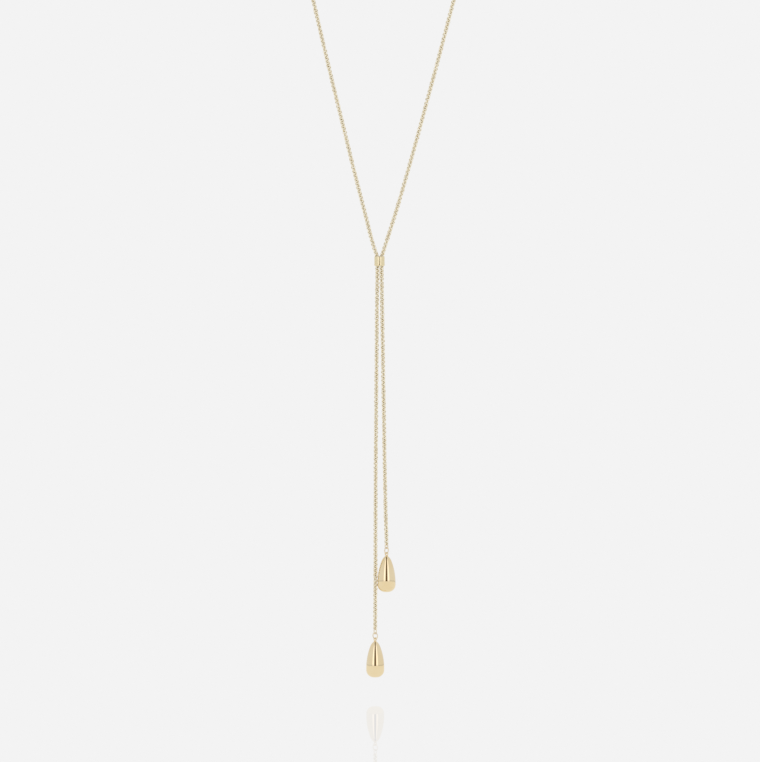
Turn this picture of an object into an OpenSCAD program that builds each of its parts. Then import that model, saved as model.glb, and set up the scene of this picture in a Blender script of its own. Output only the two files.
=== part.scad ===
// Lariat necklace: one long chain whose two ends pass through a slider and
// hang down as a long and a short tail, each with a polished drop.
// The origin is the middle of the chain at the nape. The front faces -Y.

/* [Chain] */
// Outer diameter of the chain
chain_d = 1.7; // [1.4:0.1:1.7]

/* [Slider] */
// Diameter of the slider's barrel
slider_d = 4.25; // [4.25:0.05:5]
// Height of the slider
slider_h = 3.9; // [3:0.1:6]
// How far the rim at the foot stands out from the barrel
slider_lip = 0.1; // [0.05:0.05:0.3]

/* [Rings] */
// Thickness of the wire of the end links, jump rings and eyes
wire_d = 0.45; // [0.35:0.05:0.45]
// Width of an end link
end_link_w = 1.8; // [1.7:0.1:2.2]
// Height of the end link on the long tail
long_link_h = 2.7; // [2.4:0.1:3]
// Height of the end link on the short tail
short_link_h = 2.3; // [2:0.1:2.4]
// Outer diameter of a jump ring
jump_ring_d = 3.1; // [2.8:0.1:3.4]
// Outer diameter of the eye on a drop
eye_d = 1.8; // [1.7:0.1:2.2]
// Turn of the long tail's jump ring about the vertical
long_turn = -45; // [-90:5:90]
// Turn of the short tail's jump ring about the vertical
short_turn = 55; // [40:5:70]

/* [Drops] */
// Height of a drop without its eye
drop_h = 15.2; // [14.2:0.2:17]
// Diameter of a drop at its widest
drop_d = 7.56; // [7:0.02:7.6]

/* [Hidden] */
gold = [0.91, 0.83, 0.66];
chain_sides = 8;
// Free play between two linked wires, and between the chain's end and its link
play = 0.05;
end_gap = 0.1;

// The strands run side by side through a slot in the slider
slider_at = [-4, -120, -261.8];
slot_play = 0.12;
slider_wall = 0.2;
slider_edge = 0.15;
lip_h = 0.7;

// A drop's outline: the nose arc, the long side arc, a short straight belt
// at the widest, and the foot arc down to a small flat
nose_r = 5;
nose_end = 2.2;
side_r = 25;
belt_top = 11.2;
belt_h = 1;
eye_sink = 0.1;

// Centre line of the chain from the nape, over the collar and down the
// left arm, through the slider, to the end of the long tail
LONG_ROUTE = [
    [0, 0, 0], [-10, -0.6, -0.4], [-19.9, -2.4, -1.5], [-29.3, -5.6, -3.2],
    [-37.9, -10, -5.5], [-45.3, -15.9, -8.4], [-51.2, -23, -11.9],
    [-55.3, -31, -16], [-57.6, -39.2, -20.6], [-58.2, -47.5, -26],
    [-57.6, -55.5, -32], [-56.2, -63, -38.7], [-54.5, -70.3, -46.3],
    [-52.7, -77.8, -55.5], [-50.6, -85, -66], [-46.6, -97.3, -86],
    [-42.4, -106, -106], [-38.1, -112, -126], [-33.7, -116, -146],
    [-29.1, -118.4, -166], [-24.4, -119.6, -186], [-19.5, -120, -206],
    [-14.6, -120, -226], [-9.5, -120, -246], [-6.9, -120, -256],
    [-5.7, -120, -259.8], [-5, -120, -261.8], [-4.9, -120, -263.8],
    [-4.9, -120, -266], [-5.05, -120, -280], [-5.2, -120, -300],
    [-5.4, -120, -325], [-5.6, -120, -350], [-5.7, -120, -385],
    [-5.8, -120, -417.8]
];

// The same for the right arm and the short tail
SHORT_ROUTE = [
    [0, 0, 0], [10, -0.6, -0.4], [19.9, -2.4, -1.5], [29.3, -5.6, -3.2],
    [37.9, -10, -5.5], [45.3, -15.9, -8.4], [51.2, -23, -11.9],
    [55.3, -31, -16], [57.6, -39.2, -20.6], [58, -47.5, -26],
    [57, -55.5, -32], [55.4, -63, -38.7], [53.6, -70.3, -46.3],
    [51.4, -77.8, -55.5], [48.9, -85, -66], [44.2, -97.3, -86],
    [39.4, -106, -106], [34.4, -112, -126], [29.3, -116, -146],
    [24.1, -118.4, -166], [18.8, -119.6, -186], [13.4, -120, -206],
    [7.9, -120, -226], [2, -120, -246], [-1.2, -120, -256],
    [-2.4, -120, -259.8], [-3, -120, -261.8], [-3.1, -120, -263.8],
    [-3.1, -120, -266], [-2.9, -120, -280], [-2.6, -120, -300],
    [-2.2, -120, -325], [-1.8, -120, -350], [-1.4, -120, -370],
    [-1.05, -120, -382.1]
];

function unit(v) = v / norm(v);
function last_of(list) = list[len(list) - 1];

// Direction of the route at point i, from its neighbours
function heading(route, i) =
    unit(route[min(i + 1, len(route) - 1)] - route[max(i - 1, 0)]);

// The two ends of the route lie square to its first and last stretch
function ring_normal(route, i) = i == 0 ? [sign(route[1].x), 0, 0] : heading(route, i);

// Side direction carried from ring to ring without twist
function side_dir(route, i) =
    let (n = ring_normal(route, i),
        guess = i == 0 ? [0, 0, 1] : side_dir(route, i - 1))
    unit(guess - (guess * n) * n);

function ring_points(route, i, r) =
    let (n = ring_normal(route, i), u = side_dir(route, i), v = cross(n, u))
    [for (k = [0:chain_sides - 1])
        let (a = 360 * (k + 0.5) / chain_sides)
        route[i] + r * (cos(a) * u + sin(a) * v)];

// Closed tube: a ring of points at each point of the route and two end faces
module strand(route, d) {
    rings = len(route);
    points = [for (i = [0:rings - 1]) each ring_points(route, i, d / 2)];
    walls = [for (i = [0:rings - 2], k = [0:chain_sides - 1])
        let (a = i * chain_sides, next = (k + 1) % chain_sides)
        each [
            [a + k, a + chain_sides + k, a + chain_sides + next],
            [a + k, a + chain_sides + next, a + next]
        ]];
    first = [for (k = [0:chain_sides - 1]) k];
    last = [for (k = [chain_sides - 1:-1:0]) (rings - 1) * chain_sides + k];
    polyhedron(points, concat([first, last], walls));
}

// Round ring of wire, upright, with its plane along X before it is turned
module wire_ring(outer_d) {
    rotate([90, 0, 0])
        rotate_extrude($fn = 48)
            translate([(outer_d - wire_d) / 2, 0])
                circle(d = wire_d, $fn = 24);
}

// Oval link of wire: two half rings and two straight sides, hanging from the
// middle of its upper wire
module oval_link(width, height) {
    reach = (width - wire_d) / 2;
    straight = height - width;
    for (upper = [0, 1])
        translate([0, 0, -reach - (1 - upper) * straight])
            intersection() {
                wire_ring(width);
                translate([-width, -width, upper == 1 ? 0 : -width])
                    cube([2 * width, 2 * width, width]);
            }
    if (straight > 0)
        for (side = [-1, 1])
            translate([side * reach, 0, -reach - straight])
                cylinder(d = wire_d, h = straight, $fn = 24);
}

// Heights of one tail's hardware below the end of its chain, at end_z
function link_top(end_z) = end_z - end_gap - wire_d / 2;
function link_foot(end_z, link_h) = link_top(end_z) - (link_h - wire_d);
function ring_centre(end_z, link_h) =
    link_foot(end_z, link_h) + wire_d + play - (jump_ring_d - wire_d) / 2;
function ring_foot(end_z, link_h) = ring_centre(end_z, link_h) - (jump_ring_d - wire_d) / 2;
function eye_centre(end_z, link_h) =
    ring_foot(end_z, link_h) + wire_d + play - (eye_d - wire_d) / 2;
function drop_top(end_z, link_h) =
    eye_centre(end_z, link_h) - (eye_d - wire_d) / 2 - eye_sink;

// Half outline of a drop in radius and height, with its tip at height 0
module drop_outline() {
    widest = drop_d / 2;
    side_centre = [widest - side_r, -belt_top];
    nose_meets = [
        side_centre.x + sqrt(side_r * side_r - pow(belt_top - nose_end, 2)),
        -nose_end
    ];
    nose_centre = nose_meets + (side_centre - nose_meets) * nose_r / side_r;
    foot_top = belt_top + belt_h;
    foot_r = drop_h - foot_top;
    foot_x = widest - foot_r;
    intersection() {
        translate(nose_centre) circle(r = nose_r, $fn = 96);
        translate([0, -nose_end]) square([widest, nose_end]);
    }
    intersection() {
        translate(side_centre) circle(r = side_r, $fn = 240);
        translate([0, -belt_top]) square([widest, belt_top - nose_end]);
    }
    translate([0, -foot_top]) square([widest, belt_h]);
    translate([0, -drop_h]) square([foot_x, foot_r]);
    intersection() {
        translate([foot_x, -foot_top]) circle(r = foot_r, $fn = 96);
        translate([foot_x, -drop_h]) square([foot_r, foot_r]);
    }
}

// One drop with its eye soldered on the tip
module drop(end, link_h, turn) {
    color(gold) {
        translate([end.x, end.y, drop_top(end.z, link_h)])
            rotate_extrude($fn = 96)
                drop_outline();
        translate([end.x, end.y, eye_centre(end.z, link_h)])
            rotate([0, 0, turn + 90])
                wire_ring(eye_d);
    }
}

// The end link hangs below the end of the chain, crosswise to the jump ring
module end_link(end, link_h, turn) {
    color(gold)
        translate([end.x, end.y, link_top(end.z)])
            rotate([0, 0, turn + 90])
                oval_link(end_link_w, link_h);
}

module jump_ring(end, link_h, turn) {
    color(gold)
        translate([end.x, end.y, ring_centre(end.z, link_h)])
            rotate([0, 0, turn])
                wire_ring(jump_ring_d);
}

// Round barrel with softened edges, a small rim at its foot and a slot that
// holds the two strands side by side
module slider() {
    slot_d = chain_d + 2 * slot_play;
    slot_x = (slider_d - slot_d) / 2 - slider_wall;
    color(gold)
        translate(slider_at)
            difference() {
                rotate_extrude($fn = 72) {
                    translate([0, -slider_h]) square([slider_d / 2 - slider_edge, slider_h]);
                    translate([0, -slider_h + slider_edge])
                        square([slider_d / 2, slider_h - 2 * slider_edge]);
                    translate([slider_d / 2 - slider_edge, -slider_edge])
                        circle(r = slider_edge, $fn = 32);
                    translate([slider_d / 2 + slider_lip - lip_h / 2, -slider_h + lip_h / 2])
                        circle(d = lip_h, $fn = 48);
                }
                translate([0, 0, -slider_h - 1]) {
                    for (side = [-1, 1])
                        translate([side * slot_x, 0, 0])
                            cylinder(d = slot_d, h = slider_h + 2, $fn = 48);
                    translate([-slot_x, -slot_d / 2, 0])
                        cube([2 * slot_x, slot_d, slider_h + 2]);
                }
            }
}

module chain_long() {
    color(gold) strand(LONG_ROUTE, chain_d);
}

module chain_short() {
    color(gold) strand(SHORT_ROUTE, chain_d);
}

module end_link_long() {
    end_link(last_of(LONG_ROUTE), long_link_h, long_turn);
}

module end_link_short() {
    end_link(last_of(SHORT_ROUTE), short_link_h, short_turn);
}

module jump_ring_long() {
    jump_ring(last_of(LONG_ROUTE), long_link_h, long_turn);
}

module jump_ring_short() {
    jump_ring(last_of(SHORT_ROUTE), short_link_h, short_turn);
}

module drop_long() {
    drop(last_of(LONG_ROUTE), long_link_h, long_turn);
}

module drop_short() {
    drop(last_of(SHORT_ROUTE), short_link_h, short_turn);
}

chain_long();
chain_short();
slider();
end_link_long();
end_link_short();
jump_ring_long();
jump_ring_short();
drop_long();
drop_short();
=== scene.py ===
"""Looks of a fine lariat necklace in gold plate.

A long chain of small rounded links runs through a barrel slider and hangs as two
tails, each with an end link, a jump ring and a polished teardrop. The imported
solids are the frame: lengths are in metres, the origin is the middle of the
chain at the nape, the front faces -Y and +Z is up.
"""

import logging
import math
from collections.abc import Sequence
from dataclasses import dataclass, field
from enum import Enum

import bmesh
import bpy
import numpy as np
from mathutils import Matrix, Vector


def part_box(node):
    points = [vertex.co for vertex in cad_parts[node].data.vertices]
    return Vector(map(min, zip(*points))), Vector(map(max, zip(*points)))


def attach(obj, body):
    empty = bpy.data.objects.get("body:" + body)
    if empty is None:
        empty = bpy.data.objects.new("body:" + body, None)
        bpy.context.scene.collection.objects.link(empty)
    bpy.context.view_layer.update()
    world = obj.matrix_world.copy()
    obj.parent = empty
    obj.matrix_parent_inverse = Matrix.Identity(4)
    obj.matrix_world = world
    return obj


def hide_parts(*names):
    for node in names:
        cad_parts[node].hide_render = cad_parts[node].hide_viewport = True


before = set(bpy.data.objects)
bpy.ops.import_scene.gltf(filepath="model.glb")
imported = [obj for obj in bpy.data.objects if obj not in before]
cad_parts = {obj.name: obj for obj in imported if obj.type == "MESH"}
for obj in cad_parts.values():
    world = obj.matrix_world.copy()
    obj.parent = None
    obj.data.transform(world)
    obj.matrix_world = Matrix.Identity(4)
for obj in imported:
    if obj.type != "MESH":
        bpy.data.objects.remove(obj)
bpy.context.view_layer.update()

LOG = logging.getLogger("lariat")
MM = 0.001
FULL_TURN = 2 * math.pi
BACK = np.array([0.0, 1.0, 0.0])
UP = np.array([0.0, 0.0, 1.0])
# The upright plane of the slider and both tails, in front of the nape
FRONT_Y = -120 * MM
# Points that lie closer than this are merged where a piece asks for it
SAME_PLACE = 1e-8
Colour = tuple[float, float, float]
BLACK: Colour = (0.0, 0.0, 0.0)
WHITE: Colour = (1.0, 1.0, 1.0)

# Centre lines of the chain's two halves, from the nape to the ends of the tails
LONG_ROUTE = MM * np.array([
    [0, 0, 0], [-10, -0.6, -0.4], [-19.9, -2.4, -1.5], [-29.3, -5.6, -3.2],
    [-37.9, -10, -5.5], [-45.3, -15.9, -8.4], [-51.2, -23, -11.9],
    [-55.3, -31, -16], [-57.6, -39.2, -20.6], [-58.2, -47.5, -26],
    [-57.6, -55.5, -32], [-56.2, -63, -38.7], [-54.5, -70.3, -46.3],
    [-52.7, -77.8, -55.5], [-50.6, -85, -66], [-46.6, -97.3, -86],
    [-42.4, -106, -106], [-38.1, -112, -126], [-33.7, -116, -146],
    [-29.1, -118.4, -166], [-24.4, -119.6, -186], [-19.5, -120, -206],
    [-14.6, -120, -226], [-9.5, -120, -246], [-6.9, -120, -256],
    [-5.7, -120, -259.8], [-5, -120, -261.8], [-4.9, -120, -263.8],
    [-4.9, -120, -266], [-5.05, -120, -280], [-5.2, -120, -300],
    [-5.4, -120, -325], [-5.6, -120, -350], [-5.7, -120, -385],
    [-5.8, -120, -417.8],
])
SHORT_ROUTE = MM * np.array([
    [0, 0, 0], [10, -0.6, -0.4], [19.9, -2.4, -1.5], [29.3, -5.6, -3.2],
    [37.9, -10, -5.5], [45.3, -15.9, -8.4], [51.2, -23, -11.9],
    [55.3, -31, -16], [57.6, -39.2, -20.6], [58, -47.5, -26],
    [57, -55.5, -32], [55.4, -63, -38.7], [53.6, -70.3, -46.3],
    [51.4, -77.8, -55.5], [48.9, -85, -66], [44.2, -97.3, -86],
    [39.4, -106, -106], [34.4, -112, -126], [29.3, -116, -146],
    [24.1, -118.4, -166], [18.8, -119.6, -186], [13.4, -120, -206],
    [7.9, -120, -226], [2, -120, -246], [-1.2, -120, -256],
    [-2.4, -120, -259.8], [-3, -120, -261.8], [-3.1, -120, -263.8],
    [-3.1, -120, -266], [-2.9, -120, -280], [-2.6, -120, -300],
    [-2.2, -120, -325], [-1.8, -120, -350], [-1.4, -120, -370],
    [-1.05, -120, -382.1],
])


class Slot(Enum):
    """The record's material slots."""

    CHAIN = "chain"
    POLISHED = "polished"
    WIRE = "wire"


# Surfaces


@dataclass
class Shell:
    """One closed surface: points, faces, a place on the skin per face corner,
    and named values per point."""

    points: np.ndarray
    quads: np.ndarray
    skin: np.ndarray
    values: dict[str, np.ndarray] = field(default_factory=dict)


def grid_shell(points: np.ndarray, close_rows: bool) -> Shell:
    """Joins a grid of points into faces.

    Each face runs (i, j), (i+1, j), (i+1, j+1), (i, j+1), so it looks along
    the row direction crossed with the column direction. The last column joins
    the first.

    Args:
        points: Places, rows by columns by 3.
        close_rows: Whether the last row joins the first.

    Returns:
        The surface, with the grid's own 0 to 1 as its place on the skin.
    """
    rows, columns = points.shape[:2]
    i, j = np.meshgrid(
        np.arange(rows if close_rows else rows - 1), np.arange(columns), indexing="ij",
    )
    corners = np.array([[0, 0], [1, 0], [1, 1], [0, 1]])
    row = i[..., None] + corners[:, 0]
    column = j[..., None] + corners[:, 1]
    quads = (row % rows) * columns + column % columns
    skin = np.stack([row / rows, column / columns], axis=-1)
    return Shell(points.reshape(-1, 3), quads.reshape(-1, 4), skin.reshape(-1, 2))


def join_shells(shells: Sequence[Shell]) -> Shell:
    """Makes one surface from several.

    Args:
        shells: The surfaces, all with the same named values.

    Returns:
        The surface, in which each keeps its own faces and values.
    """
    starts = np.cumsum([0] + [len(s.points) for s in shells[:-1]])
    names = shells[0].values
    return Shell(
        np.concatenate([s.points for s in shells]),
        np.concatenate([s.quads + start for s, start in zip(shells, starts)]),
        np.concatenate([s.skin for s in shells]),
        {n: np.concatenate([s.values[n] for s in shells]) for n in names},
    )


def upright_axes(turn_deg: float) -> tuple[np.ndarray, np.ndarray, np.ndarray]:
    """Works out the axes of an upright plane.

    Args:
        turn_deg: Turn of the plane about +Z, from the plane that holds +X.

    Returns:
        Its sideways direction, its upward direction and its normal.
    """
    a = math.radians(turn_deg)
    side = np.array([math.cos(a), math.sin(a), 0.0])
    return side, UP, np.cross(side, UP)


def arc(centre: Sequence[float], radius: float, start: float, end: float, steps: int) -> np.ndarray:
    """Points centre + radius (cos a, sin a), with a from start to end in degrees."""
    a = np.radians(np.linspace(start, end, steps))
    return np.array(centre) + radius * np.stack([np.cos(a), np.sin(a)], axis=-1)


def revolve(outline: np.ndarray, centre: np.ndarray, columns: int) -> Shell:
    """Turns an outline about the upright line through centre.

    The point at outline distance d, height h and angle a is the centre plus
    (d cos a, d sin a, h).

    Args:
        outline: Distance from the axis and height of each point, from the
            top down.
        centre: Place of the outline's axis at height 0.
        columns: Number of points round the axis.

    Returns:
        The surface.
    """
    a = np.linspace(0, FULL_TURN, columns, endpoint=False)
    d, h = outline[:, :1], outline[:, 1:]
    grid = np.stack([d * np.cos(a), d * np.sin(a), h + 0 * a], axis=-1)
    return grid_shell(grid + centre, close_rows=False)


def wire_along(
    path: np.ndarray,
    outward: np.ndarray,
    normal: np.ndarray,
    radius: np.ndarray,
    sides: int,
    closed: bool,
) -> Shell:
    """Carries a round wire along a flat path.

    The point at path place P, with the path's outward direction N and plane
    normal B, and section angle b is P + r (cos b N + sin b B).

    Args:
        path: Places along the wire's middle, counter-clockwise about normal.
        outward: Outward direction at each place.
        normal: Normal of the path's plane.
        radius: Wire radius at each place.
        sides: Points round the wire.
        closed: Whether the path joins its start.

    Returns:
        The wire's surface. Ends of zero radius close it.
    """
    b = np.linspace(0, FULL_TURN, sides, endpoint=False)
    section = np.cos(b)[:, None] * outward[:, None, :] + np.sin(b)[:, None] * normal
    points = path[:, None, :] + radius[:, None, None] * section
    return grid_shell(points, close_rows=closed)


def make_mesh(name: str, shell: Shell, merge: bool) -> bpy.types.Mesh:
    """Puts a surface into a Blender mesh.

    Args:
        name: Name of the mesh.
        shell: The surface.
        merge: Whether coincident points, such as poles, are merged.

    Returns:
        The mesh, smooth-shaded, with its skin map and values as attributes.
    """
    mesh = bpy.data.meshes.new(name)
    mesh.vertices.add(len(shell.points))
    mesh.vertices.foreach_set("co", shell.points.astype(np.float32).ravel())
    faces, corners = shell.quads.shape
    mesh.loops.add(faces * corners)
    mesh.loops.foreach_set("vertex_index", shell.quads.astype(np.int32).ravel())
    mesh.polygons.add(faces)
    starts = np.arange(0, faces * corners, corners, dtype=np.int32)
    mesh.polygons.foreach_set("loop_start", starts)
    mesh.update(calc_edges=True)
    skin = mesh.uv_layers.new(name="skin")
    skin.uv.foreach_set("vector", shell.skin.astype(np.float32).ravel())
    for key, values in shell.values.items():
        attribute = mesh.attributes.new(key, "FLOAT", "POINT")
        attribute.data.foreach_set("value", values.astype(np.float32))
    if merge:
        work = bmesh.new()
        work.from_mesh(mesh)
        bmesh.ops.remove_doubles(work, verts=work.verts, dist=SAME_PLACE)
        work.to_mesh(mesh)
        work.free()
    mesh.validate()
    mesh.shade_smooth()
    return mesh


@dataclass(frozen=True)
class Piece:
    """Where a finished surface belongs: its name, body, slot and CAD node."""

    name: str
    body: str
    slot: Slot
    node: str

    def place(self, shell: Shell, material: bpy.types.Material, merge: bool = True) -> None:
        """Makes the piece's object, which stands for the CAD node, rides it
        on its body and logs it.

        Args:
            shell: The piece's surface, in the row frame.
            material: Its finish.
            merge: Whether coincident points are merged.
        """
        mesh = make_mesh(self.name, shell, merge)
        mesh.materials.append(material)
        made = bpy.data.objects.new(self.name, mesh)
        bpy.context.scene.collection.objects.link(made)
        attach(made, self.body)
        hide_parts(self.node)
        LOG.info("%s: %d faces, on body %s", self.name, len(mesh.polygons), self.body)


# Finishes


class NodeSheet:
    """A shader tree that nodes are added to and joined up in."""

    def __init__(self, tree: bpy.types.NodeTree) -> None:
        """Starts from an empty tree."""
        self.tree = tree
        tree.nodes.clear()

    def add(self, kind: str, settings: dict | None = None, **inputs: object) -> bpy.types.Node:
        """Adds a node.

        Args:
            kind: Node type, without the ShaderNode prefix.
            settings: Properties of the node.
            **inputs: Values or output sockets for its inputs, by name with
                underscores for spaces, or by number as i0, i1 and so on.

        Returns:
            The node.
        """
        node = self.tree.nodes.new("ShaderNode" + kind)
        for key, value in (settings or {}).items():
            setattr(node, key, value)
        for key, value in inputs.items():
            number = key[1:]
            socket = node.inputs[int(number) if number.isdigit() else key.replace("_", " ")]
            if isinstance(value, bpy.types.NodeSocket):
                self.tree.links.new(value, socket)
            else:
                socket.default_value = value
        return node

    def math(self, operation: str, *values: object) -> bpy.types.NodeSocket:
        """Result of a Math node with these values."""
        inputs = {f"i{k}": value for k, value in enumerate(values)}
        return self.add("Math", {"operation": operation}, **inputs).outputs[0]

    def ramp(
        self, value: object, low: float, high: float, to_low: float = 0.0, to_high: float = 1.0,
    ) -> bpy.types.NodeSocket:
        """Adds a smooth step.

        Args:
            value: What the step follows.
            low: Value at which it starts.
            high: Value at which it ends, above low.
            to_low: Result up to low.
            to_high: Result from high on.

        Returns:
            The result.
        """
        node = self.add(
            "MapRange", {"interpolation_type": "SMOOTHSTEP"},
            i0=value, i1=low, i2=high, i3=to_low, i4=to_high,
        )
        return node.outputs[0]

    def mix(self, share: object, first: object, second: object) -> bpy.types.NodeSocket:
        """Colour that goes from first to second as share goes from 0 to 1."""
        return self.add("MixRGB", None, i0=share, i1=first, i2=second).outputs[0]


def opaque(colour: Colour) -> tuple[float, float, float, float]:
    """A colour with full cover."""
    return (*colour, 1.0)


@dataclass(frozen=True)
class FineMarks:
    """Fine marks of handled gold plate: slow clouds of plating tone, and
    hairlines left by polishing, drawn out along one direction."""

    cloud_scale: float = 300.0
    cloud_detail: float = 3.0
    cloud_grain: float = 0.55
    line_scale: float = 4000.0
    line_detail: float = 2.0
    line_grain: float = 0.7
    line_turn: tuple[float, float, float] = (0.35, 0.2, 0.6)
    line_stretch: tuple[float, float, float] = (1.0, 1.0, 0.06)
    line_cover: float = 0.35
    bare_level: float = 0.72
    cover_gain: float = 0.35
    line_sharpness: float = 9.0
    line_depth: float = 0.25

    def group(self) -> bpy.types.NodeTree:
        """Builds the shared node group, on Object coordinates.

        Returns:
            The group, with inputs Cloud Scale, Line Scale and Line Cover, and
            outputs Clouds, Lines and Relief.
        """
        tree = bpy.data.node_groups.new("gold_marks", "ShaderNodeTree")
        sheet = NodeSheet(tree)
        starts = {
            "Cloud Scale": self.cloud_scale, "Line Scale": self.line_scale,
            "Line Cover": self.line_cover,
        }
        for name, start in starts.items():
            socket = tree.interface.new_socket(name, in_out="INPUT", socket_type="NodeSocketFloat")
            socket.default_value = start
        for name in ("Clouds", "Lines", "Relief"):
            tree.interface.new_socket(name, in_out="OUTPUT", socket_type="NodeSocketFloat")
        inputs = tree.nodes.new("NodeGroupInput").outputs
        outputs = tree.nodes.new("NodeGroupOutput").inputs
        place = sheet.add("TexCoord").outputs["Object"]
        clouds = sheet.add(
            "TexNoise", None, Vector=place, Scale=inputs["Cloud Scale"],
            Detail=self.cloud_detail, Roughness=self.cloud_grain,
        ).outputs[0]
        drawn = sheet.add(
            "Mapping", None, Vector=place, Rotation=self.line_turn, Scale=self.line_stretch,
        ).outputs[0]
        lines = sheet.add(
            "TexNoise", None, Vector=drawn, Scale=inputs["Line Scale"],
            Detail=self.line_detail, Roughness=self.line_grain,
        ).outputs[0]
        gain = sheet.math("MULTIPLY", inputs["Line Cover"], self.cover_gain)
        edge = sheet.math("SUBTRACT", self.bare_level, gain)
        shown = sheet.math("MULTIPLY", sheet.math("SUBTRACT", lines, edge), self.line_sharpness)
        cut = sheet.math("MINIMUM", sheet.math("MAXIMUM", shown, 0.0), 1.0)
        relief = sheet.math("SUBTRACT", clouds, sheet.math("MULTIPLY", cut, self.line_depth))
        tree.links.new(clouds, outputs["Clouds"])
        tree.links.new(cut, outputs["Lines"])
        tree.links.new(relief, outputs["Relief"])
        return tree


@dataclass(frozen=True)
class GoldFinish:
    """Gold plate as one kind of piece wears it."""

    name: str
    pale: Colour
    warm: Colour
    smooth: float
    rough: float
    cloud_scale: float
    line_scale: float
    line_cover: float
    relief: float
    # Colour of painted shade on each link's inner side, where the links shade each other; None for no
    # painted shade
    painted_recess_shade: Colour | None = None
    cloud_range: tuple[float, float] = (0.3, 0.7)
    own_tone: float = 0.6
    own_wear: float = 0.5

    def material(self, marks: bpy.types.NodeTree) -> bpy.types.Material:
        """Builds the finish.

        Colour goes from pale to warm with the clouds, roughness from smooth
        to rough with the hairlines, and both give a very low relief. Where a
        shade colour is given, each link has its own tone and wear, and the
        inner side of its wire darkens towards that colour, as painted shade
        where the links hide each other from the light.

        Args:
            marks: The shared group of fine marks.

        Returns:
            The material.
        """
        made = bpy.data.materials.new(self.name)
        made.use_nodes = True
        sheet = NodeSheet(made.node_tree)
        group = sheet.add("Group", {"node_tree": marks})
        group.inputs["Cloud Scale"].default_value = self.cloud_scale
        group.inputs["Line Scale"].default_value = self.line_scale
        group.inputs["Line Cover"].default_value = self.line_cover
        tone = sheet.ramp(group.outputs["Clouds"], *self.cloud_range)
        worn = group.outputs["Lines"]
        if self.painted_recess_shade:
            own = sheet.add("Attribute", {"attribute_name": "link_tone"}).outputs["Fac"]
            shared_tone = sheet.math("MULTIPLY", tone, 1.0 - self.own_tone)
            tone = sheet.math("ADD", shared_tone, sheet.math("MULTIPLY", own, self.own_tone))
            worn = sheet.math("MAXIMUM", worn, sheet.math("MULTIPLY", own, self.own_wear))
        colour = sheet.mix(tone, opaque(self.pale), opaque(self.warm))
        # Painted shade: each link's wire darkens towards the shade colour on its inner side, where the
        # next link shades it
        if self.painted_recess_shade:
            inner = sheet.add("Attribute", {"attribute_name": "painted_inner_shade"}).outputs["Fac"]
            colour = sheet.mix(inner, colour, opaque(self.painted_recess_shade))
        roughness = sheet.ramp(worn, 0.0, 1.0, self.smooth, self.rough)
        bump = sheet.add(
            "Bump", None, Strength=1.0, Distance=self.relief, Height=group.outputs["Relief"],
        )
        shader = sheet.add(
            "BsdfPrincipled", None,
            Base_Color=colour, Metallic=1.0, Roughness=roughness, Normal=bump.outputs[0],
        )
        out = sheet.add("OutputMaterial")
        made.node_tree.links.new(shader.outputs[0], out.inputs[0])
        return made


FINISHES = {
    Slot.POLISHED: GoldFinish(
        "polished_gold", pale=(0.905, 0.755, 0.48), warm=(0.89, 0.715, 0.42),
        smooth=0.025, rough=0.16, cloud_scale=160, line_scale=2600, line_cover=0.3, relief=4e-6,
    ),
    Slot.WIRE: GoldFinish(
        "gold_wire", pale=(0.88, 0.79, 0.61), warm=(0.85, 0.73, 0.53),
        smooth=0.05, rough=0.2, cloud_scale=500, line_scale=5000, line_cover=0.5, relief=2e-6,
    ),
    Slot.CHAIN: GoldFinish(
        "chain_gold", pale=(1.0, 0.945, 0.77), warm=(0.98, 0.885, 0.67),
        smooth=0.04, rough=0.12, cloud_scale=700, line_scale=6000, line_cover=0.5, relief=2e-6,
        # Painted shade colour for the links' inner sides, where they shade each other
        painted_recess_shade=(0.50, 0.42, 0.22),
    ),
}
BARREL_GOLD = GoldFinish(
    "brushed_gold", pale=(0.90, 0.785, 0.50), warm=(0.88, 0.745, 0.445),
    smooth=0.2, rough=0.3, cloud_scale=400, line_scale=3000, line_cover=0.6, relief=3e-6,
)


# The chain


def near_zero(angle: float, period: float) -> float:
    """The angle of the same place, within half a period of zero."""
    return (angle + period / 2) % period - period / 2


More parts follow.
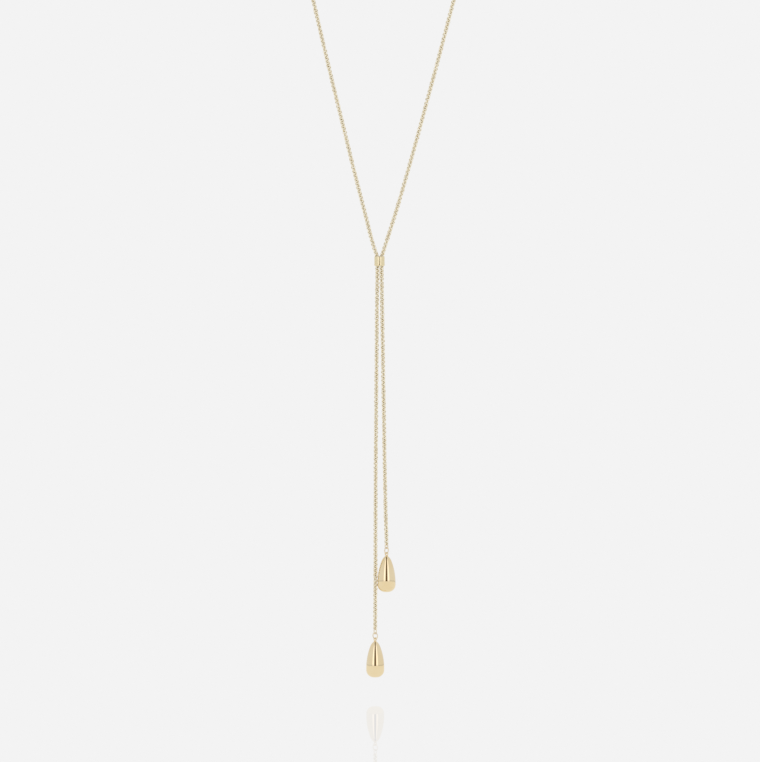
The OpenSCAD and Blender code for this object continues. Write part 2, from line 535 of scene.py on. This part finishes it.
@dataclass(frozen=True)
class Route:
    """A smooth line through given points, carried on straight at its end."""

    points: np.ndarray
    start_way: Sequence[float]
    end_way: Sequence[float] = (0.0, 0.0, -1.0)
    carry_on: float = 2 * MM
    steps: int = 32
    heading_reach: float = 0.2 * MM

    def curve(self) -> np.ndarray:
        """Works out the smooth line.

        Between two points p and q a stretch d apart, with headings m and n,
        the place at share t is h1 p + h2 d m + h3 q + h4 d n, with the four
        cubic Hermite weights. A heading is the mean direction of the two
        stretches beside its point, each weighted by the other's length.

        Returns:
            Places along the line, close together.
        """
        p = self.points
        span = np.linalg.norm(np.diff(p, axis=0), axis=1, keepdims=True)
        way = np.diff(p, axis=0) / span
        inner = (way[1:] * span[:-1] + way[:-1] * span[1:]) / (span[1:] + span[:-1])
        headings = np.concatenate([[self.start_way], inner, [self.end_way]])
        t = np.linspace(0, 1, self.steps, endpoint=False)[None, :, None]
        start, end = p[:-1, None], p[1:, None]
        lead, tail = headings[:-1, None] * span[:, None], headings[1:, None] * span[:, None]
        places = (
            (2 * t**3 - 3 * t**2 + 1) * start + (t**3 - 2 * t**2 + t) * lead
            + (3 * t**2 - 2 * t**3) * end + (t**3 - t**2) * tail
        )
        beyond = p[-1] + self.carry_on * np.array(self.end_way)
        return np.concatenate([places.reshape(-1, 3), p[-1:], beyond[None]])

    def lengths(self, curve: np.ndarray) -> np.ndarray:
        """Length along the line at each of its places."""
        return np.concatenate([[0], np.cumsum(np.linalg.norm(np.diff(curve, axis=0), axis=1))])

    def at(self, s: np.ndarray) -> tuple[np.ndarray, np.ndarray]:
        """Finds places on the line.

        A heading is the direction from a little behind to a little ahead.

        Args:
            s: Lengths from the nape.

        Returns:
            Place and unit heading at each length.
        """
        curve = self.curve()
        along = self.lengths(curve)
        behind, place, ahead = (
            np.stack([np.interp(s + d, along, curve[:, k]) for k in range(3)], axis=-1)
            for d in (-self.heading_reach, 0.0, self.heading_reach)
        )
        way = ahead - behind
        return place, way / np.linalg.norm(way, axis=1, keepdims=True)

    def length(self) -> float:
        """Length from the nape to the last given point."""
        return float(self.lengths(self.curve())[-2])


@dataclass(frozen=True)
class LinkChain:
    """Half of the chain: short rounded links of broad wire, each crosswise to
    the next. sway holds the size in degrees, the wavelength and the start in
    radians of each slow sine, and the other angles are in degrees."""

    seed: int
    width: float = 2.12 * MM
    length: float = 1.715 * MM
    thick: float = 0.42 * MM
    broad: float = 0.6 * MM
    play: float = 0.006 * MM
    ring_steps: int = 14
    wire_steps: int = 6
    lie: float = 45.0
    nape_turn: float = 45.0
    sway: tuple[tuple[float, float, float], ...] = (
        (7.0, 31.0 * MM, 0.3), (6.0, 9.0 * MM, 1.9), (5.0, 4.3 * MM, 0.7),
    )
    scatter: float = 5.0
    lean: float = 3.0
    end_calm: float = 5.0 * MM
    nape_calm: float = 120.0 * MM
    # Share of painted shade on the wire's inner side away from where the next link sits, and how fast
    # it falls off from there
    painted_shade_cover: float = 0.75
    seat_fade: float = 1.5

    @property
    def reach(self) -> float:
        """Half length of the wire's middle line along the chain."""
        return (self.length - self.thick) / 2

    @property
    def spread(self) -> float:
        """Half width of the wire's middle line across the chain."""
        return (self.width - self.thick) / 2

    def link_places(self, route: Route, below: float) -> tuple[np.ndarray, np.ndarray, np.ndarray]:
        """Spaces the links along the route.

        Two touching crosswise links lie their inner length apart. The last
        link is set below the route's end, and the first half a step from the
        nape, where the other half's first link hooks in.

        Args:
            route: The half's line.
            below: How far the last link's middle is beyond the route's end.

        Returns:
            Length along the route, place and heading of each link.
        """
        last = route.length() + below
        ideal = self.length - 2 * self.thick - self.play
        steps = math.ceil(last / ideal - 0.5)
        step = last / (steps + 0.5)
        s = step * (np.arange(steps + 1) + 0.5)
        place, way = route.at(s)
        return s, place, way

    def turns(self, s: np.ndarray, end_turn: float, rng: np.random.Generator) -> np.ndarray:
        """Works out how far each link is turned about the chain.

        Neighbours are a right angle apart. The last link keeps end_turn and
        the first comes within half a degree of nape_turn. Between them the
        whole lies at its own angle with a slow sway made of a few sines and a
        small scatter, all eased in from both ends.

        Args:
            s: Length along the route of each link.
            end_turn: Turn of the last link, in degrees from +X.
            rng: Source of the scatter.

        Returns:
            The turns, in radians.
        """
        turn = end_turn + 90.0 * np.arange(len(s) - 1, -1, -1)
        to_lie = -near_zero(end_turn - self.lie, 90.0)
        to_nape = -near_zero(turn[0] - self.nape_turn, 180.0)
        ease = np.clip((s[-1] - s) / self.end_calm, 0, 1)
        nape = np.clip(1 - s / self.nape_calm, 0, 1)
        sway = sum(size * np.sin(FULL_TURN * s / wave + start) for size, wave, start in self.sway)
        loose = to_lie + sway + rng.normal(0, self.scatter, len(s))
        return np.radians(turn + ease * (1 - nape) * loose + nape * to_nape)

    def link_axes(
        self, way: np.ndarray, turn: np.ndarray, rng: np.random.Generator,
    ) -> tuple[np.ndarray, np.ndarray, np.ndarray]:
        """Works out how each link stands.

        The side direction is +Y square to the chain's heading and turned
        about it. Every link but the first and the last then leans a little
        about its side direction.

        Args:
            way: The chain's heading at each link.
            turn: Turn of each link, in radians.
            rng: Source of the lean.

        Returns:
            Heading, side direction and plane normal of each link.
        """
        back = BACK - way[:, 1:2] * way
        back /= np.linalg.norm(back, axis=1, keepdims=True)
        across = np.cross(way, back)
        side = np.cos(turn)[:, None] * across + np.sin(turn)[:, None] * back
        normal = np.cross(way, side)
        lean = rng.normal(0, math.radians(self.lean), (len(way), 1))
        lean[[0, -1]] = 0
        way = np.cos(lean) * way + np.sin(lean) * normal
        return way, side, np.cross(way, side)

    def painted_inner_shade(self, a: np.ndarray, b: np.ndarray) -> np.ndarray:
        """Painted shade on a link's wire: none on its outer side, full where the next link sits
        inside.
        """
        seat = self.painted_shade_cover + (1 - self.painted_shade_cover) * np.abs(np.cos(a)) ** self.seat_fade
        return seat * np.clip(-np.cos(b), 0, 1)

    def build(self, route: Route, end_turn: float, below: float) -> Shell:
        """Builds every link as an oval of broad wire.

        A link stands with its heading T, its side direction W and its plane
        normal. The point at oval angle a and wire angle b is C + p cos a T
        + q sin a W + t cos b N + u sin b (T x W), with p and q the oval's
        reach and spread, t and u the wire's half thickness and half breadth,
        and N the unit vector along q cos a T + p sin a W, square to the oval.

        Args:
            route: The half's line.
            end_turn: Turn of the last link, in degrees from +X.
            below: How far the last link is beyond the route's end.

        Returns:
            All links as one surface, with each link's tone and the painted
            shade of its wire's inner side.
        """
        rng = np.random.default_rng(self.seed)
        s, place, way = self.link_places(route, below)
        axes = self.link_axes(way, self.turns(s, end_turn, rng), rng)
        place, way, side, normal = (v[:, None, None] for v in (place, *axes))
        a = np.linspace(0, FULL_TURN, self.ring_steps, endpoint=False)[None, :, None, None]
        b = np.linspace(0, FULL_TURN, self.wire_steps, endpoint=False)[None, None, :, None]
        steep = np.hypot(self.spread * np.cos(a), self.reach * np.sin(a))
        outward = (self.spread * np.cos(a) * way + self.reach * np.sin(a) * side) / steep
        points = (
            place
            + self.reach * np.cos(a) * way + self.spread * np.sin(a) * side
            + self.thick / 2 * np.cos(b) * outward
            + self.broad / 2 * np.sin(b) * normal
        )
        one = grid_shell(points[0], close_rows=True)
        count, size = len(s), len(one.points)
        quads = one.quads[None] + size * np.arange(count)[:, None, None]
        LOG.info("chain: %d links %.3f mm apart", count, (s[1] - s[0]) / MM)
        return Shell(
            points.reshape(-1, 3),
            quads.reshape(-1, 4),
            np.tile(one.skin, (count, 1)),
            {
                "link_tone": np.repeat(rng.random(count), size),
                # Painted shade of each wire's inner side, darkest where the next link sits
                "painted_inner_shade": np.tile(self.painted_inner_shade(a, b).ravel(), count),
            },
        )


# Slider, rings and drops


@dataclass(frozen=True)
class Slider:
    """Round barrel on the two strands, with a slot and a rim at its foot.
    Rows are points of its outline, and the two laps are the angles left open
    between an arc and the wall, in degrees."""

    top: tuple[float, float, float] = (-4 * MM, FRONT_Y, -261.8 * MM)
    diameter: float = 4.25 * MM
    height: float = 3.9 * MM
    lip: float = 0.1 * MM
    lip_height: float = 0.7 * MM
    edge: float = 0.15 * MM
    edge_lap: float = 6.0
    lip_lap: float = 8.0
    slot_width: float = 1.94 * MM
    wall: float = 0.2 * MM
    mouth: float = 0.06 * MM
    edge_rows: int = 8
    wall_rows: int = 14
    lip_rows: int = 14
    mouth_rows: int = 5
    columns: int = 120

    def outer_outline(self) -> np.ndarray:
        """Works out the outline from the top's edge down the barrel and round
        the rim at its foot.

        Returns:
            Distance from the axis and height of each point.
        """
        r, h = self.diameter / 2, self.height
        bead = self.lip_height / 2
        bead_at = (r + self.lip - bead, bead - h)
        meets = math.degrees(math.acos((bead - self.lip) / bead))
        wall_foot = bead_at[1] + bead * math.sin(math.radians(meets)) + self.edge / 2
        down_wall = np.linspace(-self.edge, wall_foot, self.wall_rows)
        return np.concatenate([
            arc((r - self.edge, -self.edge), self.edge, 90, self.edge_lap, self.edge_rows),
            np.stack([np.full(self.wall_rows, r), down_wall], axis=-1),
            arc(bead_at, bead, meets - self.lip_lap, -90, self.lip_rows),
        ])

    def build(self) -> Shell:
        """Builds the barrel as one closed skin.

        Rows run down the outside as circles, in under the foot, up through
        the slot and out over the top. A slot row's point at angle a is the
        half length times the sign of cos a, plus the slot's radius along
        (cos a, sin a), so it is two half rounds joined by straight sides.

        Returns:
            The barrel's surface.
        """
        slot_r = self.slot_width / 2
        slot_half = self.diameter / 2 - self.wall - slot_r
        a = FULL_TURN * (np.arange(self.columns) + 0.5) / self.columns
        unit = np.stack([np.cos(a), np.sin(a)], axis=-1)
        outer = self.outer_outline()
        circles = outer[:, :1, None] * unit
        mouth = arc((self.mouth, 0), self.mouth, 270, 180, self.mouth_rows)
        widen = np.concatenate([mouth, mouth[::-1]])[:, 0]
        quarter = np.radians(np.linspace(0, 90, self.mouth_rows))
        down = self.mouth * (1 - np.sin(quarter))
        heights = np.concatenate([down - self.height, -down[::-1]])
        slots = (slot_r + widen)[:, None, None] * unit
        slots[..., 0] += slot_half * np.sign(np.cos(a))
        flat = np.concatenate([circles, slots])
        height = np.concatenate([outer[:, 1], heights])[:, None, None]
        grid = np.concatenate([flat, np.broadcast_to(height, (*flat.shape[:2], 1))], axis=-1)
        return grid_shell(grid + np.array(self.top), close_rows=True)


@dataclass(frozen=True)
class WireRing:
    """A round ring of wire, soldered shut or cut once as a jump ring is.

    bevel is the length of a rounded end in wire diameters, and end_places and
    end_sizes give its points as shares of that length and of the wire."""

    outer: float
    wire: float = 0.45 * MM
    cut: float = 0.0
    cut_at: float = 0.0
    bevel: float = 0.125
    end_places: tuple[float, ...] = (0.0, 0.0, 0.35, 0.75, 1.0)
    end_sizes: tuple[float, ...] = (0.0, 0.8, 0.92, 0.98, 1.0)
    steps: int = 72
    sides: int = 20

    def build(self, centre: Sequence[float], turn_deg: float) -> Shell:
        """Builds the ring upright about its centre.

        The wire's middle at angle a is C + R (cos a S + sin a Z), with S the
        plane's side. A cut ring starts and ends half the cut from cut_at, and
        its ends are rounded off.

        Args:
            centre: Middle of the ring.
            turn_deg: Turn of its plane about the vertical.

        Returns:
            The ring's surface.
        """
        side, up, normal = upright_axes(turn_deg)
        middle = (self.outer - self.wire) / 2
        gap = self.cut / 2 / middle
        a = np.linspace(gap, FULL_TURN - gap, self.steps + 1)
        closed = self.cut == 0
        if closed:
            a = a[:-1]
            sizes = np.ones(self.steps)
        else:
            ends = self.bevel * self.wire / middle * np.array(self.end_places)
            a = np.concatenate([a[0] + ends, a[1:-1], a[-1] - ends[::-1]])
            sizes = np.concatenate([self.end_sizes, np.ones(self.steps - 1), self.end_sizes[::-1]])
        a = a + math.radians(self.cut_at)
        outward = np.cos(a)[:, None] * side + np.sin(a)[:, None] * up
        path = np.array(centre) + middle * outward
        return wire_along(path, outward, normal, self.wire / 2 * sizes, self.sides, closed)


@dataclass(frozen=True)
class OvalLink:
    """A soldered oval link: two half rings and two straight sides. The solder
    seam makes one side thicker by a share, over an angle in radians."""

    height: float
    width: float = 1.8 * MM
    wire: float = 0.45 * MM
    seam: float = 0.04
    seam_angle: float = 0.25
    steps: int = 48
    sides: int = 20

    def build(self, top_wire: Sequence[float], turn_deg: float) -> Shell:
        """Builds the link hanging from the middle of its upper wire.

        The wire's middle at angle a is the centre plus R (cos a S + sin a Z),
        moved up or down by half the straight length with the sign of sin a.

        Args:
            top_wire: Middle of the upper wire.
            turn_deg: Turn of the link's plane about the vertical.

        Returns:
            The link's surface.
        """
        side, up, normal = upright_axes(turn_deg)
        middle = (self.width - self.wire) / 2
        straight = self.height - self.width
        a = FULL_TURN * (np.arange(self.steps) + 0.5) / self.steps
        outward = np.cos(a)[:, None] * side + np.sin(a)[:, None] * up
        centre = np.array(top_wire) - (middle + straight / 2) * up
        path = centre + middle * outward + straight / 2 * np.sign(np.sin(a))[:, None] * up
        swell = 1 + self.seam * np.exp(-((a - math.pi) / self.seam_angle) ** 2)
        return wire_along(path, outward, normal, self.wire / 2 * swell, self.sides, closed=True)


@dataclass(frozen=True)
class Teardrop:
    """A polished drop with its eye soldered on the tip.

    mound gives the solder's outline as shares of its radius and heights over
    the tip, and mound_foot the step out from its radius and the height of its
    foot. Rows are points of each arc of the outline."""

    height: float = 15.2 * MM
    diameter: float = 7.56 * MM
    nose_radius: float = 5 * MM
    nose_start: float = 0.12 * MM
    nose_end: float = 2.2 * MM
    side_radius: float = 25 * MM
    belt_top: float = 11.2 * MM
    belt_height: float = 1.0 * MM
    eye: float = 1.8 * MM
    wire: float = 0.45 * MM
    eye_sink: float = 0.1 * MM
    solder: float = 0.34 * MM
    mound: tuple[tuple[float, float], ...] = (
        (0.0, 0.24 * MM), (0.55, 0.21 * MM), (0.85, 0.13 * MM), (1.0, 0.04 * MM),
    )
    mound_foot: tuple[float, float] = (0.03 * MM, -0.04 * MM)
    nose_rows: int = 20
    side_rows: int = 40
    foot_rows: int = 28
    columns: int = 144

    def outline(self) -> np.ndarray:
        """Works out the half outline from the solder on the tip to the foot.

        Below the short solder mound, the nose arc, the long side arc, a
        straight belt, the foot arc and a small flat meet smoothly.

        Returns:
            Distance from the axis and height over the tip of each point.
        """
        widest = self.diameter / 2
        side = np.array([widest - self.side_radius, -self.belt_top])
        lean = math.asin((self.belt_top - self.nose_end) / self.side_radius)
        meets = side + self.side_radius * np.array([math.cos(lean), math.sin(lean)])
        nose = meets + (side - meets) * self.nose_radius / self.side_radius
        top = math.degrees(math.asin((-self.nose_start - nose[1]) / self.nose_radius))
        lean = math.degrees(lean)
        foot_top = self.belt_top + self.belt_height
        foot_r = self.height - foot_top
        flat_r = widest - foot_r
        mound = [(share * self.solder, rise) for share, rise in self.mound]
        run_out, sink = self.mound_foot
        return np.concatenate([
            [*mound, (self.solder + run_out, sink)],
            arc(nose, self.nose_radius, top, lean, self.nose_rows),
            arc(side, self.side_radius, lean, 0, self.side_rows)[1:],
            [(widest, -self.belt_top - self.belt_height / 2)],
            arc((flat_r, -foot_top), foot_r, 0, -90, self.foot_rows),
            [(flat_r / 2, -self.height), (0.0, -self.height)],
        ])

    def build(self, bottom: Sequence[float], turn_deg: float) -> Shell:
        """Builds the drop and its eye.

        Args:
            bottom: Middle of the drop's foot.
            turn_deg: Turn of the eye's plane about the vertical.

        Returns:
            Both as one surface.
        """
        tip = np.array(bottom) + self.height * UP
        body = revolve(self.outline(), tip, self.columns)
        eye_middle = (self.eye - self.wire) / 2
        eye_at = tip + (eye_middle + self.eye_sink) * UP
        return join_shells([body, WireRing(self.eye, self.wire).build(eye_at, turn_deg)])


@dataclass(frozen=True)
class Tail:
    """One half of the necklace: its strand, end link, jump ring and drop."""

    name: str
    route: Route
    chain: LinkChain
    ring_turn: float
    link_height: float
    cut_at: float
    end_gap: float = 0.1 * MM
    wire: float = 0.45 * MM
    play: float = 0.05 * MM
    hook_play: float = 0.004 * MM
    ring_outer: float = 3.1 * MM
    ring_cut: float = 0.05 * MM
    drop: Teardrop = Teardrop()

    def build(self, finishes: dict[Slot, bpy.types.Material]) -> None:
        """Builds the half from its strand down to its drop.

        The last link of the chain hooks under the end link's upper wire, and
        the jump ring and the drop's eye hang on the wires below it.

        Args:
            finishes: The material of each slot.
        """
        end = self.route.points[-1]
        link_top = end - (self.end_gap + self.wire / 2) * UP
        hook = (self.wire + self.chain.thick) / 2 + self.hook_play
        below = end[2] - (link_top[2] - hook + self.chain.reach)
        ring_middle = (self.ring_outer - self.wire) / 2
        ring_drop = self.link_height - self.wire - self.wire - self.play + ring_middle
        low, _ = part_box(f"drop_{self.name}")
        foot = np.array([end[0], end[1], low.z])
        crosswise = self.ring_turn + 90
        ring = WireRing(self.ring_outer, self.wire, cut=self.ring_cut, cut_at=self.cut_at)

        half = self.name
        shells = {
            Piece(f"links_{half}", "necklace", Slot.CHAIN, f"chain_{half}"):
                self.chain.build(self.route, self.ring_turn, below),
            Piece(f"oval_link_{half}", "necklace", Slot.WIRE, f"end_link_{half}"):
                OvalLink(self.link_height).build(link_top, crosswise),
            Piece(f"open_ring_{half}", f"{half}_ring", Slot.WIRE, f"jump_ring_{half}"):
                ring.build(link_top - ring_drop * UP, self.ring_turn),
            Piece(f"teardrop_{half}", f"{half}_drop", Slot.POLISHED, f"drop_{half}"):
                self.drop.build(foot, crosswise),
        }
        for piece, shell in shells.items():
            piece.place(shell, finishes[piece.slot], merge=piece.slot is not Slot.CHAIN)


# Camera and studio


@dataclass(frozen=True)
class PhotoCamera:
    """A long lens a little above the middle of the tails, facing the front."""

    aim: tuple[float, float, float] = (-3.79 * MM, FRONT_Y, -313.85 * MM)
    distance: float = 1.25
    elevation: float = 3.75
    view_height: float = 318.5 * MM
    sensor: float = 36.0
    near: float = 0.05
    far: float = 20.0

    def place(self) -> None:
        """Puts the camera on its line of sight; the lens follows from how
        much of the aim's plane it takes in."""
        data = bpy.data.cameras.new("photo_camera")
        data.sensor_width = self.sensor
        data.lens = self.sensor * self.distance / self.view_height
        data.clip_start, data.clip_end = self.near, self.far
        made = bpy.data.objects.new("photo_camera", data)
        lift = math.radians(self.elevation)
        back = np.array([0.0, -math.cos(lift), math.sin(lift)])
        made.location = np.array(self.aim) + self.distance * back
        made.rotation_euler = (math.radians(90 - self.elevation), 0.0, 0.0)
        bpy.context.scene.collection.objects.link(made)
        bpy.context.scene.camera = made
        LOG.info("camera: %.0f mm lens, %.2f m away", data.lens, self.distance)


@dataclass(frozen=True)
class Studio:
    """White backdrop and floor, pale walls, two tall lights beside the camera
    and the dark gap between them.

    The gap's and the lights' edges are angles from the front in degrees, each
    from full to none. The floor's far edge is at the direction's height
    a + b c + d c c, with a, b and d in far_edge and c the cosine of half the
    angle from the front, which the drops mirror as a level line. skirt is the
    brightness left in the shaded skirt above it, which is skirt_height times
    c high."""

    backdrop: float = 0.896
    wall: Colour = (0.812, 0.824, 0.868)
    lamp: Colour = (1.30, 1.30, 1.44)
    gap: Colour = (0.17, 0.13, 0.08)
    gap_edge: tuple[float, float] = (11.5, 13.7)
    lamp_edge: tuple[float, float] = (35.5, 38.5)
    far_edge: tuple[float, float, float] = (-0.1425, 0.0415, 0.0445)
    skirt: float = 0.8
    skirt_height: float = 0.034
    floor_shade: Colour = (0.89, 0.89, 0.89)
    floor_gloss: float = 0.18
    floor_z: float = -444.9 * MM
    floor_front: float = 0.8
    floor_back: float = 3.0
    floor_half: float = 2.5

    def walls(
        self, sheet: NodeSheet, sideways: object, front: object, angle: object,
    ) -> bpy.types.NodeSocket:
        """Paints the walls and lights by angle, and the gap as the slot
        between two upright planes.

        Args:
            sheet: The world's nodes.
            sideways: The direction's share along +X.
            front: Its share along -Y.
            angle: Its angle round from the front, in radians.

        Returns:
            The colour seen in that direction.
        """
        degrees = sheet.math("MULTIPLY", angle, math.degrees(1.0))
        lamp = sheet.ramp(degrees, *self.lamp_edge, 1.0, 0.0)
        edges = (math.sin(math.radians(edge)) for edge in self.gap_edge)
        slot = sheet.ramp(sheet.math("ABSOLUTE", sideways), *edges, 1.0, 0.0)
        gap = sheet.math("MULTIPLY", slot, sheet.math("GREATER_THAN", front, 0.0))
        return sheet.mix(gap, sheet.mix(lamp, opaque(self.wall), opaque(self.lamp)), opaque(self.gap))

    def foot(
        self, sheet: NodeSheet, up: object, angle: object, room: object,
    ) -> bpy.types.NodeSocket:
        """Paints the floor and the shaded skirt above its far edge.

        Args:
            sheet: The world's nodes.
            up: The direction's share along +Z.
            angle: Its angle round from the front, in radians.
            room: The colour of the walls and lights.

        Returns:
            The colour seen in that direction.
        """
        behind, rise, bend = self.far_edge
        ahead = sheet.math("COSINE", sheet.math("MULTIPLY", angle, 0.5))
        line = sheet.math("MULTIPLY_ADD", ahead, sheet.math("MULTIPLY_ADD", ahead, bend, rise), behind)
        top = sheet.math("MULTIPLY_ADD", ahead, self.skirt_height, line)
        shade = sheet.math("MULTIPLY", sheet.math("LESS_THAN", up, top), 1.0 - self.skirt)
        room = sheet.mix(shade, room, opaque(BLACK))
        return sheet.mix(sheet.math("LESS_THAN", up, line), room, opaque(self.floor_shade))

    def light(self) -> None:
        """Paints the room round the object by direction. The camera and the
        floor's mirror see the plain backdrop."""
        world = bpy.data.worlds.new("studio")
        world.use_nodes = True
        bpy.context.scene.world = world
        sheet = NodeSheet(world.node_tree)
        direction = sheet.add("TexCoord").outputs["Generated"]
        way = sheet.add("SeparateXYZ", None, i0=direction).outputs
        front = sheet.math("MULTIPLY", way["Y"], -1.0)
        angle = sheet.math("ABSOLUTE", sheet.math("ARCTAN2", way["X"], front))
        room = self.foot(sheet, way["Z"], angle, self.walls(sheet, way["X"], front, angle))
        lit = sheet.add("Background", None, Color=room)
        plain = sheet.add("Background", None, Color=opaque((self.backdrop,) * 3))
        path = sheet.add("LightPath").outputs
        seen = sheet.math("MAXIMUM", path["Is Camera Ray"], path["Is Singular Ray"])
        both = sheet.add("MixShader", None, i0=seen, i1=lit.outputs[0], i2=plain.outputs[0])
        out = sheet.add("OutputWorld")
        world.node_tree.links.new(both.outputs[0], out.inputs[0])

    def floor(self) -> None:
        """Lays the white floor under the drops, as bright as the backdrop with
        a faint sharp mirror image. Only the camera sees it: the pieces mirror
        the floor of the painted room."""
        material = bpy.data.materials.new("white_floor")
        material.use_nodes = True
        sheet = NodeSheet(material.node_tree)
        white = sheet.add("Emission", None, Color=opaque((self.backdrop,) * 3)).outputs[0]
        shine = sheet.add("BsdfAnisotropic", None, Color=opaque(WHITE), Roughness=0.0).outputs[0]
        mixed = sheet.add("MixShader", None, i0=self.floor_gloss, i1=white, i2=shine)
        out = sheet.add("OutputMaterial")
        material.node_tree.links.new(mixed.outputs[0], out.inputs[0])
        near, far = FRONT_Y - self.floor_front, FRONT_Y + self.floor_back
        corners = [
            (-self.floor_half, near, self.floor_z), (self.floor_half, near, self.floor_z),
            (self.floor_half, far, self.floor_z), (-self.floor_half, far, self.floor_z),
        ]
        mesh = bpy.data.meshes.new("floor")
        mesh.from_pydata(corners, [], [(0, 1, 2, 3)])
        mesh.materials.append(material)
        made = bpy.data.objects.new("floor", mesh)
        made.visible_glossy = False
        bpy.context.scene.collection.objects.link(made)


def main() -> None:
    """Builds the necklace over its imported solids."""
    logging.basicConfig(level=logging.INFO, format="%(name)s: %(message)s")
    bpy.context.scene.view_settings.view_transform = "Standard"
    bpy.context.scene.cycles.use_denoising = False
    PhotoCamera().place()
    studio = Studio()
    studio.light()
    studio.floor()
    marks = FineMarks().group()
    finishes = {slot: finish.material(marks) for slot, finish in FINISHES.items()}
    tails = (
        Tail(
            "long", Route(LONG_ROUTE, start_way=(-1, 0, 0)), LinkChain(seed=11),
            ring_turn=-45, link_height=2.7 * MM, cut_at=-20,
        ),
        Tail(
            "short", Route(SHORT_ROUTE, start_way=(1, 0, 0)), LinkChain(seed=23),
            ring_turn=55, link_height=2.3 * MM, cut_at=200,
        ),
    )
    for tail in tails:
        tail.build(finishes)
    barrel = Piece("barrel_slider", "necklace", Slot.POLISHED, "slider")
    barrel.place(Slider().build(), BARREL_GOLD.material(marks))


if __name__ == "__main__":
    main()
